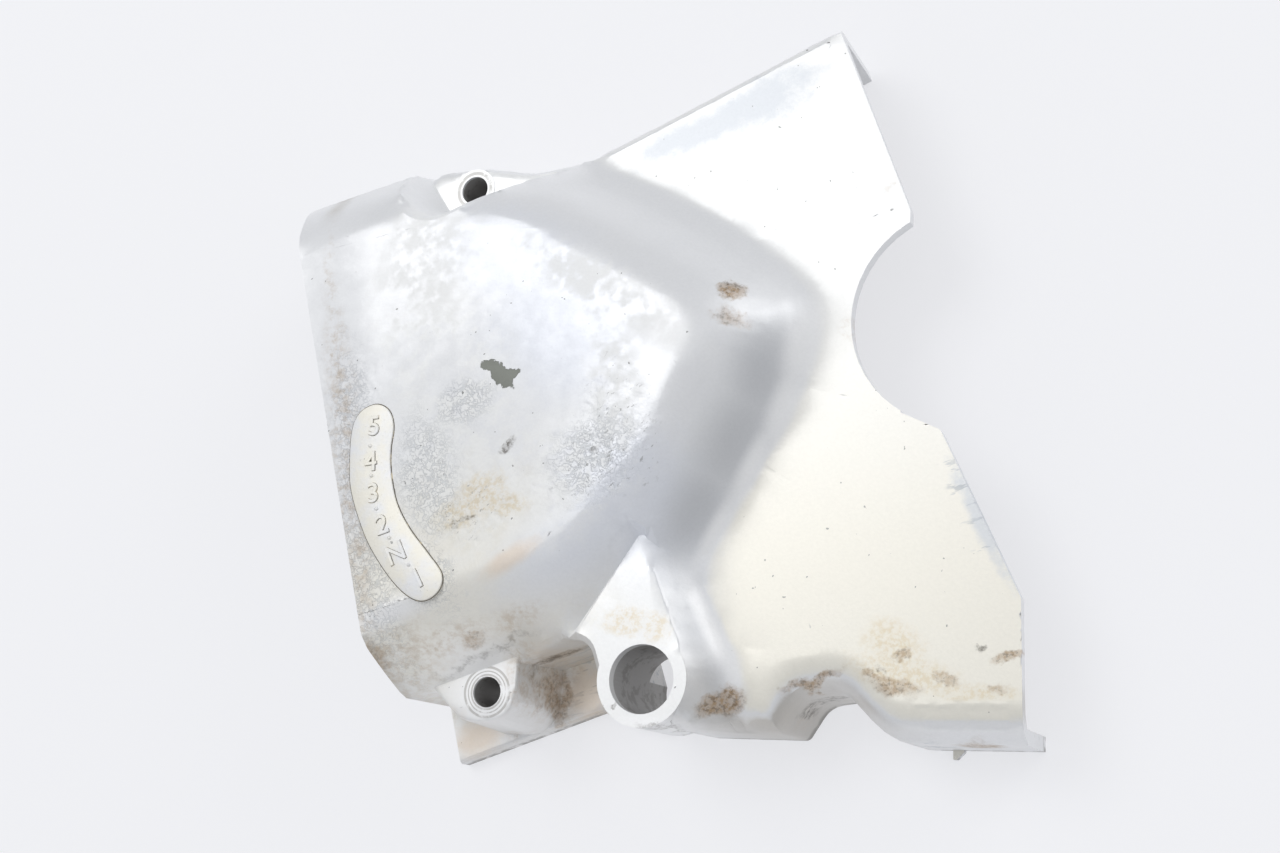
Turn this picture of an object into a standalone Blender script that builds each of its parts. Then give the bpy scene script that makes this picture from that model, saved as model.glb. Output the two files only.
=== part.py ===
"""Engine sprocket cover of a motorcycle: one aluminium casting with an open underside.

All sizes are metres. Plan positions are measured from the axis of the gear-shift shaft,
with +X towards the rear sprocket, +Y up the engine and +Z out of the cover's face.
The finished casting is then moved so that the middle of its base is the origin.
"""

import math

import bmesh
import bpy
import numpy as np
from mathutils import Matrix, Vector
from mathutils.geometry import delaunay_2d_cdt

# Heights over the plane that the rim lies on, and the thickness of the casting
WALL = 0.0032
PANEL_HEIGHT = 0.0255
DOME_RISE = 0.0165
PAD_RISE = 0.0080
FOOT_HEIGHT = 0.0045

# Plane at the left that the cover next to this one meets
LEFT_CUT_X = -0.0628
LEFT_CUT_TILT = math.radians(15.4)

# Rounding from the face into the walls: how far it runs in and how far it drops
FOLDS = {
    "top": (0.0032, 0.0035),
    "crown": (0.0070, 0.0070),
    "pocket": (0.0012, 0.0012),
    "lower": (0.0080, 0.0060),
}
LEAST_FOLD = 0.0008

# Outline of the face, counter-clockwise: x, y, corner radius and the wall that hangs from the side that follows
RIGHT_X = 0.0798
LOWER_WALL_Y = -0.0120
MIDDLE_WALL_Y = -0.0100
OUTLINE = (
    (-0.0900, -0.0118, 0.0010, "pocket"),
    (-0.0340, 0.0045, 0.0080, "pocket"),
    (-0.0196, 0.0091, 0.0003, "pocket"),
    (-0.0131, 0.0086, 0.0065, "pocket"),
    (-0.0092, -0.0030, 0.0010, "pocket"),
    (-0.0058, -0.0080, 0.0010, "pocket"),
    (0.0060, MIDDLE_WALL_Y, 0.0010, "lower"),
    (0.0276, MIDDLE_WALL_Y - 0.0003, 0.0016, "lower"),
    (0.0325, -0.0028, 0.0060, "lower"),
    (0.0412, -0.0016, 0.0045, "lower"),
    (0.0515, LOWER_WALL_Y, 0.0120, "lower"),
    (RIGHT_X, LOWER_WALL_Y, 0.0, "open"),
    (RIGHT_X, 0.0172, 0.0020, "open"),
    (0.0631, 0.0535, 0.0015, "open"),
    (0.0545, 0.0577, 0.0, "open"),
    (0.0565, 0.1035, 0.0030, "open"),
    (0.0392, 0.1507, 0.0, "top"),
    (-0.0225, 0.1259, 0.0200, "top"),
    (-0.0370, 0.1242, 0.0200, "top"),
    (-0.0520, 0.1275, 0.0120, "top"),
    (-0.0680, 0.1268, 0.0100, "crown"),
    (-0.1250, 0.1125, 0.0, "open"),
)

# Dome: where its side starts at the top and where it ends on the face, corner by corner
DOME_SHOULDER = (
    (-0.1100, -0.0080, 0.0010),
    (-0.0400, 0.0200, 0.0100),
    (-0.0185, 0.0290, 0.0140),
    (0.0000, 0.0460, 0.0240),
    (0.0060, 0.0600, 0.0300),
    (0.0148, 0.0786, 0.0080),
    (-0.0335, 0.1062, 0.0060),
    (-0.0620, 0.1110, 0.0050),
    (-0.1200, 0.0920, 0.0010),
)
DOME_FOOT = (
    (-0.1100, -0.0215, 0.0010),
    (-0.0345, 0.0020, 0.0080),
    (-0.0070, -0.0080, 0.0060),
    (0.0085, 0.0225, 0.0150),
    (0.0345, 0.0660, 0.0700),
    (0.0390, 0.0845, 0.0120),
    (0.0090, 0.1085, 0.0800),
    (-0.0290, 0.1275, 0.0100),
    (-0.0620, 0.1330, 0.0050),
    (-0.1200, 0.1270, 0.0010),
)

# Form of the dome's side: how steep it is at each share of its run, from its shoulder out to its foot
SIDE_SHARES = (0.0, 0.30, 0.80, 1.0)
SIDE_STEEPNESS = (0.0, 0.85, 1.0, 0.0)
SIDE_RUN = 0.0270

# Level ground that the dome leaves at each bolt, with how far the steep side above it runs back
TOP_CLEARANCE = (
    (-0.0690, 0.1300, 0.0010),
    (-0.0572, 0.1124, 0.0050),
    (-0.0240, 0.1242, 0.0010),
    (-0.0240, 0.1500, 0.0010),
    (-0.0690, 0.1500, 0.0010),
)
LOW_CLEARANCE = (
    (-0.0600, -0.0034, 0.0010),
    (-0.0600, -0.0300, 0.0010),
    (-0.0325, -0.0300, 0.0010),
    (-0.0325, 0.0064, 0.0010),
)
TOP_CLEARANCE_RUN = 0.0080
LOW_CLEARANCE_RUN = 0.0170
PAD_CLEARANCE_RUN = 0.0080
BOLT_CLEARANCE_BLEND = 0.0025
PAD_CLEARANCE_BLEND = 0.0020

# Bolts of the casting: place, bore, column behind the face and the seat that stands a little proud
BOLTS = {"top": (-0.0527, 0.1204), "low": (-0.0411, -0.0021)}
BOLT_BORE = 0.0070
BOLT_COLUMN = 0.0132
BOLT_SEAT = 0.0108
BOLT_SEAT_PROUD = 0.0002
BOLT_SEAT_ROOT = 0.0050
LOW_BOSS = (
    (-0.0560, -0.0004, 0.0010),
    (-0.0474, -0.0086, 0.0062),
    (-0.0343, -0.0086, 0.0064),
    (-0.0336, 0.0060, 0.0010),
    (-0.0450, 0.0110, 0.0010),
)
LOW_BOSS_DRAFT = 0.0018
LOW_BOSS_ROUND = 0.0009

# Gear-shift shaft: bore, rim of metal round it and how far its sleeve reaches into the cover
SHAFT_BORE = 0.0150
SHAFT_RIM = 0.0029
SHAFT_SLEEVE_REACH = 0.0225
PAD_LIP = 0.0004
PAD_LIP_RUN = 0.0006
PAD_SLOPE = math.radians(46)
PAD_FILLET = 0.0030
PAD_POINT = (-0.0009, 0.0330)
PAD_TIP = (-0.0204, 0.0088)
PAD_BEND = (-0.0166, 0.0102)
PAD_CORNER = (-0.0160, 0.0010)
PAD_LOW_Y = -0.0135
PAD_RIGHT = ((0.0106, 0.0022), (0.0012, 0.0265))

# Round cut in the right edge of the face
ARC_CENTRE = (0.0681, 0.0789)
ARC_RADIUS = 0.02485

# Flat foot outside the pocket between the two lower bosses
FOOT_OUTLINE = (
    (-0.0582, -0.0172, 0.0020),
    (-0.0219, -0.0044, 0.0010),
    (-0.0155, -0.0074, 0.0020),
    (-0.0050, -0.0096, 0.0010),
    (-0.0050, 0.0060, 0.0010),
    (-0.0180, 0.0125, 0.0010),
    (-0.0500, 0.0035, 0.0010),
    (-0.0700, -0.0025, 0.0010),
    (-0.0700, -0.0190, 0.0010),
)
FOOT_BEVEL = 0.0022

# Small pointed lug on the lower rim
LUG_X = 0.0616
LUG_WIDTH = 0.0024
LUG_REACH = 0.0020
LUG_HEIGHT = 0.0020

# Paint
PAINT_COLOUR = (0.62, 0.62, 0.61, 1.0)
PAINT_METAL = 0.6
PAINT_ROUGHNESS = 0.45
SHARP_ANGLE = math.radians(35)

# Fineness of the mesh
ARC_STEP = math.radians(15)
OUTER_SPACING = 0.0024
INNER_SPACING = 0.0042
NEAREST_SHARE = 0.45
SIDE_CONTOURS = (0.0, 0.10, 0.20, 0.30, 0.47, 0.64, 0.80, 0.87, 0.94, 1.0)
SIDE_FINENESS = 3
CLEARANCE_CONTOURS = (0.15, 0.35, 0.6, 0.8, 1.0)
FOLD_BENDS = (25, 45, 65, 90)
ROUND_SEGMENTS = 48
OVERRUN = 0.0120
CUT_REACH = 0.3000
WELD = 0.000004
TINY = 1e-9


def line_normal(start, end):
    """Unit normal of a side, to its left."""
    dx = end[0] - start[0]
    dy = end[1] - start[1]
    length = math.hypot(dx, dy)
    return (-dy / length, dx / length)


def moved_corner(before, corner, after, inset_before, inset_after):
    """Corner where two sides meet after each has moved to its left by its own inset."""
    n1 = line_normal(before, corner)
    n2 = line_normal(corner, after)
    det = n1[0] * n2[1] - n1[1] * n2[0]
    c1 = n1[0] * corner[0] + n1[1] * corner[1] + inset_before
    c2 = n2[0] * corner[0] + n2[1] * corner[1] + inset_after
    if abs(det) < 1e-6:
        return (corner[0] + n1[0] * inset_before, corner[1] + n1[1] * inset_before)
    return ((c1 * n2[1] - c2 * n1[1]) / det, (n1[0] * c2 - n2[0] * c1) / det)


def corner_arc(before, corner, after, radius):
    """Points of the arc that rounds one corner."""
    n1 = line_normal(before, corner)
    n2 = line_normal(corner, after)
    turn = math.atan2(n1[0] * n2[1] - n1[1] * n2[0], n1[0] * n2[0] + n1[1] * n2[1])
    reach = 0.49 * min(math.dist(before, corner), math.dist(corner, after))
    radius = min(radius, reach / max(math.tan(abs(turn) / 2), TINY))
    if radius < 1e-5 or abs(turn) < 0.01:
        return [corner]
    side = math.copysign(1.0, turn)
    trim = radius * math.tan(abs(turn) / 2)
    along = (n1[1], -n1[0])
    centre_x = corner[0] - along[0] * trim + side * n1[0] * radius
    centre_y = corner[1] - along[1] * trim + side * n1[1] * radius
    first = math.atan2(-side * n1[1], -side * n1[0])
    count = max(1, math.ceil(abs(turn) / ARC_STEP))
    angles = [first + turn * k / count for k in range(count + 1)]
    return [(centre_x + radius * math.cos(a), centre_y + radius * math.sin(a)) for a in angles]


def rounded_loop(corners, insets):
    """Closed list of plan points: corners moved in by the inset of each side, then rounded."""
    count = len(corners)
    plain = [corner[:2] for corner in corners]
    moved = []
    for i in range(count):
        moved.append(moved_corner(plain[i - 1], plain[i], plain[(i + 1) % count], insets[i - 1], insets[i]))
    points = []
    for i in range(count):
        before, corner, after = moved[i - 1], moved[i], moved[(i + 1) % count]
        n1 = line_normal(before, corner)
        n2 = line_normal(corner, after)
        bulges = n1[0] * n2[1] - n1[1] * n2[0] > 0
        inset = max(insets[i - 1], insets[i])
        radius = corners[i][2] - inset if bulges else corners[i][2] + inset
        points += corner_arc(before, corner, after, max(radius, 0.0))
    return points


def spaced(points, spacing, closed=True):
    """The same chain of points, with long sides divided."""
    result = []
    ends = points[1:] + points[:1] if closed else points[1:]
    for start, end in zip(points, ends):
        parts = max(1, math.ceil(math.dist(start, end) / spacing))
        for k in range(parts):
            share = k / parts
            result.append((start[0] + (end[0] - start[0]) * share, start[1] + (end[1] - start[1]) * share))
    if not closed:
        result.append(points[-1])
    return result


def plain_loop(corners, inset=0.0):
    return rounded_loop(corners, [inset] * len(corners))


def distance_to_chain(points, chain, closed):
    """Distance of each point of an array from a chain of straight pieces."""
    start = np.array(chain)
    end = np.roll(start, -1, axis=0)
    if not closed:
        start = start[:-1]
        end = end[:-1]
    along = end - start
    length = np.maximum((along ** 2).sum(axis=1), TINY ** 2)
    offset = points[:, None, :] - start[None, :, :]
    share = np.clip((offset * along).sum(axis=2) / length, 0, 1)
    nearest = offset - share[:, :, None] * along[None, :, :]
    return np.sqrt((nearest ** 2).sum(axis=2)).min(axis=1)


def inside_loop(points, loop):
    """Whether each point of an array lies inside a closed loop."""
    x, y = points[:, 0], points[:, 1]
    inside = np.zeros(len(points), dtype=bool)
    for (x1, y1), (x2, y2) in zip(loop, loop[1:] + loop[:1]):
        crosses = (y1 > y) != (y2 > y)
        if y1 != y2:
            inside ^= crosses & (x < (x2 - x1) * (y - y1) / (y2 - y1) + x1)
    return inside


def outside_by(points, loop):
    """Distance past a closed loop, 0 inside it."""
    return np.where(inside_loop(points, loop), 0.0, distance_to_chain(points, loop, True))


def within_by(points, loop):
    """Distance inside a closed loop, 0 past it."""
    return np.where(inside_loop(points, loop), distance_to_chain(points, loop, True), 0.0)


def side_lost(share):
    """Area under the side's steepness up to a share of its run."""
    lost = np.zeros_like(share)
    for k in range(len(SIDE_SHARES) - 1):
        width = SIDE_SHARES[k + 1] - SIDE_SHARES[k]
        start, end = SIDE_STEEPNESS[k], SIDE_STEEPNESS[k + 1]
        part = np.clip((share - SIDE_SHARES[k]) / width, 0, 1)
        lost += width * (start * part + (end - start) * part * part / 2)
    return lost


def side_drop(share):
    """How much of its height the dome's side has lost at a share of its run."""
    return side_lost(share) / side_lost(np.ones(1))[0]


def soft_max(first, second, radius):
    """Larger of two heights, with a fillet where they meet."""
    gap = second - first
    blend = np.clip((gap + radius) / (2 * radius), 0, 1)
    return first + np.where(gap > radius, gap, radius * blend * blend)


def side_inset(inset):
    """How far the dome's outlines move in, so that its side keeps the casting's thickness."""
    steepest = math.atan(DOME_RISE / (SIDE_RUN * side_lost(np.ones(1))[0]))
    return inset * math.tan(steepest / 2)


def pad_corners():
    """Outline of the raised pad: round the shaft's bore below, a point that ends on the dome above."""
    rim = SHAFT_BORE / 2 + SHAFT_RIM
    return (
        (*PAD_TIP, 0.0003),
        (*PAD_CORNER, 0.0003),
        (-rim, PAD_LOW_Y, 0.0003),
        (PAD_RIGHT[0][0], PAD_LOW_Y, 0.0003),
        (*PAD_RIGHT[0], 0.0120),
        (*PAD_RIGHT[1], 0.0300),
        (*PAD_POINT, 0.0012),
        (*PAD_BEND, 0.0060),
    )


def clearances(inset):
    """Level grounds that the dome gives way to: outline, level over the face, run of the side above, blend."""
    pad = plain_loop(pad_corners(), inset / 2)
    return (
        (plain_loop(TOP_CLEARANCE, -inset), 0.0, TOP_CLEARANCE_RUN, BOLT_CLEARANCE_BLEND),
        (plain_loop(LOW_CLEARANCE, -inset), 0.0, LOW_CLEARANCE_RUN, BOLT_CLEARANCE_BLEND),
        (pad, PAD_RISE - PAD_LIP, PAD_CLEARANCE_RUN, PAD_CLEARANCE_BLEND),
    )


def wall_chains(inset):
    """Plan lines that the walls hang from, each with the run and drop of its rounding."""
    insets = [inset if corner[3] != "open" else -OVERRUN for corner in OUTLINE]
    chains = []
    for kind, (run, drop) in FOLDS.items():
        members = [i for i, corner in enumerate(OUTLINE) if corner[3] == kind]
        first, last = members[0], members[-1]
        corners = [OUTLINE[i % len(OUTLINE)] for i in range(first, last + 2)]
        sides = insets[first:last + 1]
        plain = [corner[:2] for corner in corners]
        moved = [
            moved_corner(plain[i - 1], plain[i], plain[i + 1], sides[i - 1], sides[i])
            for i in range(1, len(plain) - 1)
        ]
        n_first = line_normal(plain[0], plain[1])
        n_last = line_normal(plain[-2], plain[-1])
        moved.insert(0, (plain[0][0] + n_first[0] * inset, plain[0][1] + n_first[1] * inset))
        moved.append((plain[-1][0] + n_last[0] * inset, plain[-1][1] + n_last[1] * inset))
        chain = [moved[0]]
        for i in range(1, len(moved) - 1):
            n1 = line_normal(moved[i - 1], moved[i])
            n2 = line_normal(moved[i], moved[i + 1])
            bulges = n1[0] * n2[1] - n1[1] * n2[0] > 0
            radius = corners[i][2] - inset if bulges else corners[i][2] + inset
            chain += corner_arc(moved[i - 1], moved[i], moved[i + 1], max(radius, 0.0))
        chain.append(moved[-1])
        chains.append((chain, max(run - inset, LEAST_FOLD), max(drop - inset, LEAST_FOLD)))
    return chains


def skin_height(points, inset):
    """Height of the outer skin, or of the inner skin when inset is the casting's thickness."""
    past = outside_by(points, plain_loop(DOME_SHOULDER, side_inset(inset)))
    left = within_by(points, plain_loop(DOME_FOOT, side_inset(inset)))
    dome = DOME_RISE * (1 - side_drop(past / (past + left + TINY)))
    for ground, level, run, blend in clearances(inset):
        rise = DOME_RISE - level + blend
        side = level + rise * np.sin(np.clip(outside_by(points, ground) / run, 0, 1) * math.pi / 2)
        dome = np.maximum(-soft_max(-dome, -side, blend), 0)
    pad = plain_loop(pad_corners(), inset / 2)
    within = within_by(points, pad)
    ramp = PAD_RISE - PAD_LIP - outside_by(points, pad) * math.tan(PAD_SLOPE)
    lip = PAD_LIP * np.clip(within / PAD_LIP_RUN, 0, 1)
    height = PANEL_HEIGHT + np.maximum(dome, soft_max(np.zeros(len(points)), ramp, PAD_FILLET) + lip)
    for chain, run, drop in wall_chains(inset):
        share = np.clip(1 - distance_to_chain(points, chain, False) / run, 0, 1)
        height = height - drop * (1 - np.sqrt(np.maximum(1 - share * share, 0)))
    return height - inset


def side_points(inset, spacing):
    """Rows of points along the dome's side, on lines from its shoulder to its foot and from foot to shoulder."""
    shoulder = np.array(spaced(plain_loop(DOME_SHOULDER, side_inset(inset)), spacing / SIDE_FINENESS))
    foot = np.array(spaced(plain_loop(DOME_FOOT, side_inset(inset)), spacing / SIDE_FINENESS))
    lines = []
    for high in shoulder[::SIDE_FINENESS]:
        lines.append((high, foot[np.hypot(*(foot - high).T).argmin()]))
    for low in foot[::SIDE_FINENESS]:
        lines.append((shoulder[np.hypot(*(shoulder - low).T).argmin()], low))
    points = []
    for share in SIDE_CONTOURS:
        points += [tuple(high + (low - high) * share) for high, low in lines]
    return points


def contour_loops(inset):
    """Loops along the forms of a skin, for the points of its mesh to lie on."""
    loops = []
    for share in CLEARANCE_CONTOURS:
        loops.append(plain_loop(TOP_CLEARANCE, -inset - TOP_CLEARANCE_RUN * share))
        loops.append(plain_loop(LOW_CLEARANCE, -inset - LOW_CLEARANCE_RUN * share))
    slope_end = (PAD_RISE - PAD_LIP) / math.tan(PAD_SLOPE)
    fillet_reach = PAD_FILLET / math.tan(PAD_SLOPE)
    for reach in (slope_end - fillet_reach, slope_end, slope_end + fillet_reach):
        loops.append(plain_loop(pad_corners(), inset / 2 - reach))
    return loops


def fold_loops(inset, open_inset):
    """Loops along the rounding into the walls, one for each step of its bend."""
    loops = []
    for bend in FOLD_BENDS:
        share = 1 - math.cos(math.radians(bend))
        insets = []
        for corner in OUTLINE:
            run = FOLDS.get(corner[3], (0.0, 0.0))[0]
            insets.append(inset + max(run - inset, LEAST_FOLD) * share if run else open_inset - OVERRUN)
        loops.append(rounded_loop(OUTLINE, insets))
    return loops


def thinned(fixed, loose, gap):
    """The loose points that keep a gap from the fixed ones and from each other."""
    kept = list(fixed)
    added = []
    for point in loose:
        near = np.hypot(*(np.array(kept) - point).T).min()
        if near > gap:
            kept.append(point)
            added.append(point)
    return added


def skin_solid(name, inset, floor, spacing):
    """Closed solid under a skin: the skin on top, plumb walls round it and a flat floor."""
    open_inset = 0.0 if inset == 0.0 else -OVERRUN
    insets = [open_inset if corner[3] == "open" else inset for corner in OUTLINE]
    outline = spaced(rounded_loop(OUTLINE, insets), spacing)
    creases = [outline]
    for ground, *_ in clearances(inset):
        creases.append(spaced(ground, spacing))
    if inset == 0.0:
        creases.append(spaced(plain_loop(pad_corners(), PAD_LIP_RUN), spacing))
    fixed = [point for loop in creases for point in loop]
    loose = []
    for loop in fold_loops(inset, open_inset) + contour_loops(inset):
        loose += spaced(loop, spacing)
    loose += side_points(inset, spacing)
    inside = inside_loop(np.array(loose), outline)
    loose = [point for point, within in zip(loose, inside) if within]
    points = [Vector(point) for point in fixed + thinned(fixed, loose, spacing * NEAREST_SHARE)]
    edges = []
    first = 0
    for loop in creases:
        edges += [(first + k, first + (k + 1) % len(loop)) for k in range(len(loop))]
        first += len(loop)
    face = [list(range(len(outline)))]
    flat, _, triangles, _, _, owners = delaunay_2d_cdt(points, edges, face, 0, 1e-5)
    plan = np.array([tuple(point) for point in flat])
    heights = skin_height(plan, inset)
    mesh = bmesh.new()
    verts = [mesh.verts.new((x, y, z)) for (x, y), z in zip(plan, heights)]
    for triangle, owner in zip(triangles, owners):
        if owner:
            mesh.faces.new([verts[k] for k in triangle])
    for vert in [vert for vert in mesh.verts if not vert.link_faces]:
        mesh.verts.remove(vert)
    border = [edge for edge in mesh.edges if edge.is_boundary]
    grown = bmesh.ops.extrude_edge_only(mesh, edges=border)["geom"]
    for item in grown:
        if isinstance(item, bmesh.types.BMVert):
            item.co.z = floor
    rim = [edge for edge in mesh.edges if edge.is_boundary]
    bmesh.ops.contextual_create(mesh, geom=rim)
    bmesh.ops.recalc_face_normals(mesh, faces=mesh.faces)
    return mesh_object(name, mesh)


def mesh_object(name, mesh):
    data = bpy.data.meshes.new(name)
    mesh.to_mesh(data)
    mesh.free()
    made = bpy.data.objects.new(name, data)
    bpy.context.collection.objects.link(made)
    return made


def prism(name, loop, bottom, top, bevel=0.0, base=None):
    """Plate with plumb sides, or flared to its base outline, its top edge rounded where a bevel is given."""
    mesh = bmesh.new()
    low = [mesh.verts.new((x, y, bottom)) for x, y in base or loop]
    high = [mesh.verts.new((x, y, top)) for x, y in loop]
    mesh.faces.new(low)
    mesh.faces.new(high)
    for k in range(len(loop)):
        mesh.faces.new((low[k - 1], low[k], high[k], high[k - 1]))
    bmesh.ops.recalc_face_normals(mesh, faces=mesh.faces)
    if bevel:
        edges = [edge for edge in mesh.edges if all(vert.co.z > top - TINY for vert in edge.verts)]
        bmesh.ops.bevel(
            mesh, geom=edges, offset=bevel, segments=3, profile=0.5, affect="EDGES", clamp_overlap=True
        )
    return mesh_object(name, mesh)


def round_loop(centre, radius):
    angles = [2 * math.pi * k / ROUND_SEGMENTS for k in range(ROUND_SEGMENTS)]
    return [(centre[0] + radius * math.cos(a), centre[1] + radius * math.sin(a)) for a in angles]


def joined(body, tool, operation):
    """Apply one exact Boolean to the body and delete the tool."""
    modifier = body.modifiers.new(tool.name, "BOOLEAN")
    modifier.object = tool
    modifier.operation = operation
    modifier.solver = "EXACT"
    depsgraph = bpy.context.evaluated_depsgraph_get()
    result = bpy.data.meshes.new_from_object(body.evaluated_get(depsgraph))
    body.modifiers.clear()
    mesh = bmesh.new()
    mesh.from_mesh(result)
    bmesh.ops.remove_doubles(mesh, verts=mesh.verts, dist=WELD)
    bmesh.ops.dissolve_degenerate(mesh, edges=mesh.edges, dist=WELD)
    mesh.to_mesh(result)
    mesh.free()
    body.data = result
    bpy.data.objects.remove(tool)


def left_cut_box():
    """Solid that lies to the left of the mating plane."""
    lean = math.tan(LEFT_CUT_TILT)
    low = (LEFT_CUT_X + CUT_REACH * lean, -CUT_REACH)
    high = (LEFT_CUT_X - CUT_REACH * lean, CUT_REACH)
    loop = [low, high, (high[0] - CUT_REACH, high[1]), (low[0] - 2 * CUT_REACH, low[1])]
    return prism("left_cut", loop, -CUT_REACH, CUT_REACH)


def rim_lug():
    """Little tooth that points out from the rim of the lower wall."""
    inner_y = LOWER_WALL_Y + WALL / 2
    outer_y = LOWER_WALL_Y - LUG_REACH
    loop = [
        (LUG_X - LUG_WIDTH / 2, inner_y),
        (LUG_X - LUG_WIDTH / 2, outer_y),
        (LUG_X - LUG_WIDTH / 6, outer_y),
        (LUG_X + LUG_WIDTH / 2, LOWER_WALL_Y - LUG_REACH / 5),
        (LUG_X + LUG_WIDTH / 2, inner_y),
    ]
    return prism("rim_lug", loop, 0.0, LUG_HEIGHT)


def casting():
    """The cover: a skin with its foot, hollowed, then its bosses put in, bored and cut to its mating planes."""
    seat = PANEL_HEIGHT + BOLT_SEAT_PROUD
    above = PANEL_HEIGHT + DOME_RISE + OVERRUN
    body = skin_solid("sprocket_cover", 0.0, 0.0, OUTER_SPACING)
    joined(body, prism("foot", plain_loop(FOOT_OUTLINE), 0.0, FOOT_HEIGHT, FOOT_BEVEL), "UNION")
    joined(body, skin_solid("hollow", WALL, -OVERRUN, INNER_SPACING), "DIFFERENCE")
    boss_base = plain_loop(LOW_BOSS, -LOW_BOSS_DRAFT)
    low_boss = prism("low_boss", plain_loop(LOW_BOSS), 0.0, seat, LOW_BOSS_ROUND, boss_base)
    joined(body, low_boss, "UNION")
    top_column = prism("top_column", round_loop(BOLTS["top"], BOLT_COLUMN / 2), 0.0, PANEL_HEIGHT - WALL)
    joined(body, top_column, "UNION")
    top_seat = prism("top_seat", round_loop(BOLTS["top"], BOLT_SEAT / 2), seat - BOLT_SEAT_ROOT, seat)
    joined(body, top_seat, "UNION")
    sleeve = round_loop((0.0, 0.0), SHAFT_BORE / 2 + SHAFT_RIM)
    sleeve_top = PANEL_HEIGHT + PAD_RISE
    joined(body, prism("sleeve", sleeve, sleeve_top - SHAFT_SLEEVE_REACH, sleeve_top), "UNION")
    joined(body, rim_lug(), "UNION")
    for place in BOLTS.values():
        joined(body, prism("bolt_bore", round_loop(place, BOLT_BORE / 2), -OVERRUN, above), "DIFFERENCE")
    joined(body, prism("shaft_bore", round_loop((0.0, 0.0), SHAFT_BORE / 2), -OVERRUN, above), "DIFFERENCE")
    joined(body, prism("arc_cut", round_loop(ARC_CENTRE, ARC_RADIUS), -OVERRUN, above), "DIFFERENCE")
    joined(body, left_cut_box(), "DIFFERENCE")
    return body


def paint():
    """Worn silver paint on aluminium."""
    material = bpy.data.materials.new("silver_paint")
    material.use_nodes = True
    shader = material.node_tree.nodes["Principled BSDF"]
    shader.inputs["Base Color"].default_value = PAINT_COLOUR
    shader.inputs["Metallic"].default_value = PAINT_METAL
    shader.inputs["Roughness"].default_value = PAINT_ROUGHNESS
    return material


def centre_on_base(body):
    """Put the middle of the casting's box at the origin in plan, with its rim at z = 0."""
    corners = np.array([vert.co for vert in body.data.vertices])
    middle = (corners.min(axis=0) + corners.max(axis=0)) / 2
    body.data.transform(Matrix.Translation((-middle[0], -middle[1], -corners[:, 2].min())))


def main():
    for old in list(bpy.data.objects):
        bpy.data.objects.remove(old)
    body = casting()
    centre_on_base(body)
    body.data.materials.clear()
    body.data.materials.append(paint())
    body.data.shade_smooth()
    body.data.set_sharp_from_angle(angle=SHARP_ANGLE)


main()
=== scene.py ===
"""Looks of the motorcycle sprocket cover: paint, pits, dirt, painted light and shade, gear-position pad,
light and camera.
"""

import math
from collections import namedtuple

import bmesh
import bpy
import numpy as np
from mathutils import Matrix, Vector, noise


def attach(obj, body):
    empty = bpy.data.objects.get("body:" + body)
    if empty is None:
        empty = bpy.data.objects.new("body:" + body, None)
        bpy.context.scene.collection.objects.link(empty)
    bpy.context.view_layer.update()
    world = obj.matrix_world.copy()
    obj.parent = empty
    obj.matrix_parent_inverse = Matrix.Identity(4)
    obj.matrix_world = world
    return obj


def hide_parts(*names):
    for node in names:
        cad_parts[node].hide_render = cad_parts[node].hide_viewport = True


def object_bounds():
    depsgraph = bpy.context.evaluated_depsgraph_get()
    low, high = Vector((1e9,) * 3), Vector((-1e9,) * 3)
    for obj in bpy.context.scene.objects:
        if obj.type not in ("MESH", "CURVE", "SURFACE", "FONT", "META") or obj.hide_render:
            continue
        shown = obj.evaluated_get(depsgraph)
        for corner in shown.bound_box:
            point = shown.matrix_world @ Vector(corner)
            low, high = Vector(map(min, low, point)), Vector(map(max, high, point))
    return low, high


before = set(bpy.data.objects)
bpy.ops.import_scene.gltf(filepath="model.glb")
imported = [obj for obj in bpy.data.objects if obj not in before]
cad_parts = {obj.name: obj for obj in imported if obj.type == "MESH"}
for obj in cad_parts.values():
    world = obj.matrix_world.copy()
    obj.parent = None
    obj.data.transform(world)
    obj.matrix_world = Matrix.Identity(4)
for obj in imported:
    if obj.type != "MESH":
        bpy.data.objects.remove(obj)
cad_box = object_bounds()

# The shift shaft's axis on the base plane. Every place below is measured from it, in metres.
SHAFT = Vector((0.008003, -0.066775, 0.0))
DOME_HEIGHT = 0.0420
PAD_HEIGHT = 0.0335
FACE_HEIGHT = 0.0255
SHAFT_BORE = 0.0150
BOLT_BORE = 0.0070
TOP_BOLT = (-0.0527, 0.1204)
LOW_BOLT = (-0.0411, -0.0021)

# Fine mesh of the casting: lengths of its edges, and how close two points are one
PITTED_EDGE = 0.00078
FINE_EDGE = 0.0020
COARSE_EDGE = 0.0060
SPLIT_ROUNDS = 7
SAME_POINT = 0.00001

# Sides of the skin, told by the upward part of its normal
OUTER_SIDE = 0.05
INNER_SIDE = -0.1
GENTLE_SLOPE = 0.5

# Smoothing: rounds that even out the facets, then rounds that soften the slopes
SHARP_ANGLE = math.radians(34)
SMOOTH_ROUNDS = 16
SHRINK_WEIGHT = 0.62
SWELL_WEIGHT = -0.64
SOFT_ROUNDS = 60
SOFT_WEIGHT = 0.6
SOFT_FROM = FACE_HEIGHT - 0.0001
LEAST_AREA = 1e-9
LEAST_PULL = 0.02
MOST_PULL = 5.0

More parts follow.
